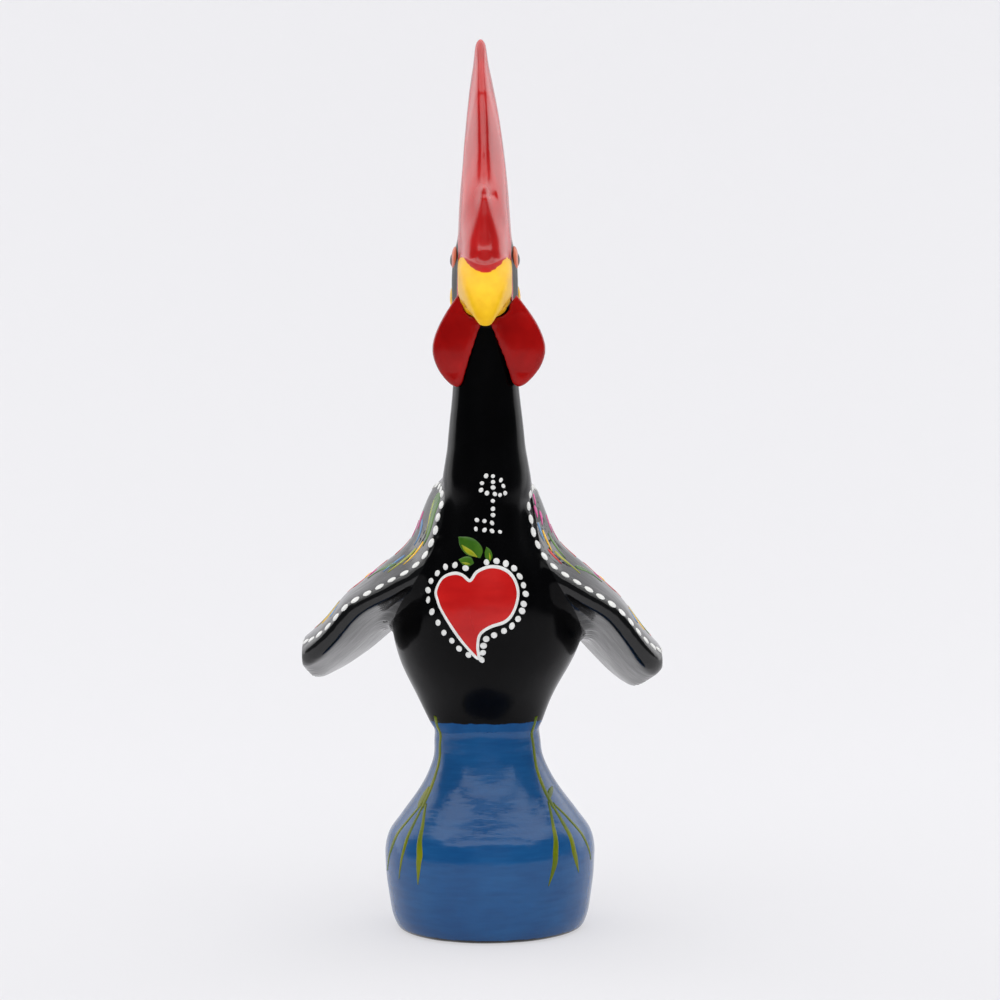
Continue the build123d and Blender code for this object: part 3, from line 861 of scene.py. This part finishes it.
# Tail strokes: one long comma of bright enamel on each feather of the tail, between two short green ones.
# A row of white dots runs round the scalloped edge, and both faces are painted alike.
tail_middle = (48.0, 150.0)
first_feather, feather_turn = 105, 29
dots_to_feather = 6


def on_tail(side):
    """A brush that comes level from one side."""

    def touch(spot):
        return skin.ray_cast(Vector((side * 0.1, spot[0] * mm, spot[1] * mm)), Vector((-side, 0, 0)))[:2]

    return touch


for name, side in (("left", 1), ("right", -1)):
    touch = on_tail(side)
    beads = bmesh.new()
    strokes = {colour: bmesh.new() for colour in ("red", "yellow", "green", "magenta")}
    for lobe, colour in enumerate(("red", "yellow", "magenta", "yellow", "red")):
        first = math.radians(first_feather - feather_turn * lobe)
        for number in range(dots_to_feather):
            share = (number + 0.5) / dots_to_feather
            angle = first - math.radians(feather_turn) * share
            reach = 42.0 + 5 * math.sin(math.pi * share)
            spot = (tail_middle[0] + reach * math.cos(angle), tail_middle[1] + (reach + 1) * math.sin(angle))
            point, normal = touch(spot)
            size = random.uniform(1.9, 2.3) * mm
            dab(beads, point, normal, Vector((0, 1, 0)), size, 0.92 * size, 0.3 * mm)
        licks = ((0.5, colour, 12, 35), (0.18, "green", 18, 31), (0.82, "green", 18, 31))
        for turn, tone, near, far in licks:
            angle = first - math.radians(feather_turn) * turn
            way = Vector((math.cos(angle), math.sin(angle)))
            width = 4.4 if tone == colour else 2.2
            start, end = Vector(tail_middle) + way * far, Vector(tail_middle) + way * near
            comma(strokes[tone], touch, start, end, width, 0.06)
    set_on(placed("tail_dots_" + name, beads), white_enamel, None)
    for colour, shape in strokes.items():
        set_on(placed("tail_" + colour + "_" + name, shape), flower_paints[colour], None)

# Legs: painted straight on the blue foot in yellow green, one down each side of the waist to three long toes.
# Spots on the foot are measured in degrees round it from the front, and up from the table.
leg_deep, leg_light = (0.065, 0.115, 0.002), (0.22, 0.235, 0.004)
leg_enamel = enamel("leg_enamel", leg_deep, leg_light, (120, 120, 60), (0.2, 0.32), 0.3, 0.2)
leg_lines = [
    [(-55, 65.5, 1.3), (-64, 58.4, 1.6), (-63, 50.3, 1.6), (-59, 41.9, 1.8), (-57, 38.0, 1.4)],
    [(-60, 39.5, 1.0), (-66, 33.0, 1.6), (-69, 26.4, 2.1), (-78, 18.4, 0.3)],
    [(-58, 40.3, 1.0), (-56, 34.0, 1.4), (-54.4, 27.4, 1.6), (-59, 17.7, 0.3)],
    [(-55, 39.5, 1.0), (-47, 34.0, 1.4), (-41.7, 27.0, 2.6), (-41.5, 23.5, 2.2), (-42.5, 17.2, 0.3)],
    [(-64, 44.0, 0.8), (-64, 42.0, 3.2), (-63, 39.6, 3.2), (-61.5, 38.0, 0.8)],
    [(51.4, 65.2, 1.3), (58.7, 55.5, 1.6), (55.1, 48.2, 1.6), (52.6, 41.1, 1.8), (52, 38.0, 1.4)],
    [(50, 40.0, 1.0), (43, 34.0, 1.3), (38.2, 27.6, 2.2), (36.5, 23.0, 2.0), (32.8, 16.9, 0.3)],
    [(52, 40.0, 1.0), (52.5, 34.5, 1.7), (51.8, 27.1, 2.3), (52.8, 24.0, 2.2), (55.9, 19.3, 0.3)],
    [(54, 39.5, 1.0), (61.0, 34.6, 1.5), (66.7, 27.5, 1.6), (72, 21.7, 0.3)],
    [(52, 41.0, 1.6), (60, 42.4, 2.0), (68, 43.4, 0.8)],
]


def on_foot(spot):
    """A brush that comes level from outside the foot."""
    angle = math.radians(spot[0])
    out = Vector((math.sin(angle), -math.cos(angle), 0))
    return skin.ray_cast(out * 0.1 + Vector((0, 0, spot[1] * mm)), -out)[:2]


legs = bmesh.new()
for line in leg_lines:
    stroke(legs, on_foot, line, 0.16 * mm)
set_on(placed("legs", legs), leg_enamel, None)

# Studio: a roll of pale paper lies on the table and curves up behind, in a dim room.
# Soft lamps stand above, high in front, in front and behind at both sides.
# The lamp in front is not mirrored in the enamel, and the camera stands before the breast.
paper_across = (-2.5, -1.2, 0.0, 1.2, 2.5)
paper_front, paper_flat, paper_bend, paper_rise = -1.2, 1.6, 0.5, 1.6
flat_steps, bend_steps, rise_steps = 8, 16, 8
sweep = bmesh.new()
rows = []
for step in range(flat_steps + bend_steps + rise_steps + 1):
    turn = math.radians(90) * max(0, min(1, (step - flat_steps) / bend_steps))
    y = paper_front + paper_flat * min(step, flat_steps) / flat_steps + paper_bend * math.sin(turn)
    risen = max(0, step - flat_steps - bend_steps) / rise_steps
    z = paper_bend * (1 - math.cos(turn)) + paper_rise * risen
    rows.append([sweep.verts.new((x, y, z)) for x in paper_across])
for low_row, high_row in zip(rows, rows[1:]):
    for number in range(len(paper_across) - 1):
        corners = (low_row[number], low_row[number + 1], high_row[number + 1], high_row[number])
        sweep.faces.new(corners).smooth = True
sweep_mesh = bpy.data.meshes.new("table")
sweep.to_mesh(sweep_mesh)
sweep.free()
table = bpy.data.objects.new("table", sweep_mesh)
bpy.context.scene.collection.objects.link(table)
paper = bpy.data.materials.new("paper")
paper.use_nodes = True
nodes, links = paper.node_tree.nodes, paper.node_tree.links
matt = nodes["Principled BSDF"]
matt.inputs["Base Color"].default_value = (0.86, 0.855, 0.875, 1)
matt.inputs["Roughness"].default_value = 0.9
matt.inputs["Specular IOR Level"].default_value = 0.1
glow = nodes.new("ShaderNodeEmission")
glow.inputs["Color"].default_value = (0.78, 0.775, 0.80, 1)
ray = nodes.new("ShaderNodeLightPath")
seen = nodes.new("ShaderNodeMath")
seen.operation = "MAXIMUM"
links.new(ray.outputs["Is Camera Ray"], seen.inputs[0])
links.new(ray.outputs["Is Glossy Ray"], seen.inputs[1])
either = nodes.new("ShaderNodeMath")
either.operation = "MAXIMUM"
links.new(seen.outputs[0], either.inputs[0])
links.new(ray.outputs["Is Transmission Ray"], either.inputs[1])
share = nodes.new("ShaderNodeMath")
share.operation = "MULTIPLY"
share.inputs[1].default_value = 0.7
links.new(either.outputs[0], share.inputs[0])
mix = nodes.new("ShaderNodeMixShader")
links.new(share.outputs[0], mix.inputs["Fac"])
links.new(matt.outputs[0], mix.inputs[1])
links.new(glow.outputs[0], mix.inputs[2])
links.new(mix.outputs[0], nodes["Material Output"].inputs["Surface"])
table.data.materials.append(paper)

world = bpy.data.worlds.new("room")
bpy.context.scene.world = world
world.use_nodes = True
world.node_tree.nodes["Background"].inputs["Color"].default_value = (0.9, 0.95, 1.0, 1)
world.node_tree.nodes["Background"].inputs["Strength"].default_value = 0.12


def softbox(name, place, aim, width, height, power):
    """A broad lamp behind white cloth."""
    lamp = bpy.data.lights.new(name, "AREA")
    lamp.shape = "RECTANGLE"
    lamp.size, lamp.size_y, lamp.energy = width, height, power
    thing = bpy.data.objects.new(name, lamp)
    thing.location = place
    thing.rotation_euler = (Vector(aim) - Vector(place)).to_track_quat("-Z", "Y").to_euler()
    thing.visible_camera = False
    bpy.context.scene.collection.objects.link(thing)
    return thing


softbox("lamp_above", (0, 0.1, 1.15), (0, 0.1, 0.1), 2.4, 1.2, 17)
softbox("lamp_high", (0, -1.22, 1.66), (0, -0.03, 0.04), 3.9, 0.56, 12.5)
softbox("lamp_left", (-0.78, 0.62, 0.42), (0, 0, 0.16), 0.7, 0.9, 2.0)
softbox("lamp_right", (0.78, 0.62, 0.42), (0, 0, 0.16), 0.7, 0.9, 2.0)
front = softbox("lamp_front", (0, -1.4, 0.7), (0, 0, 0.14), 1.2, 0.8, 6.8)
front.visible_glossy = False

image_size, image_middle = 1000, 500
axis_column, level_row = 487, 430
focal_pixels = 2400
camera_away, camera_up, camera_roll = 0.728, 0.151, -0.5
lens = bpy.data.cameras.new("camera")
lens.sensor_width = 36.0
lens.lens = lens.sensor_width * focal_pixels / image_size
camera = bpy.data.objects.new("camera", lens)
tilt = math.atan((image_middle - level_row) / focal_pixels)
pan = math.atan((axis_column - image_middle) / focal_pixels)
camera.matrix_world = (
    Matrix.Translation((0, -camera_away, camera_up))
    @ Matrix.Rotation(pan, 4, "Z")
    @ Matrix.Rotation(math.radians(90) - tilt, 4, "X")
    @ Matrix.Rotation(math.radians(camera_roll), 4, "Z")
)
bpy.context.scene.collection.objects.link(camera)
bpy.context.scene.camera = camera
bpy.context.scene.view_settings.view_transform = "Standard"
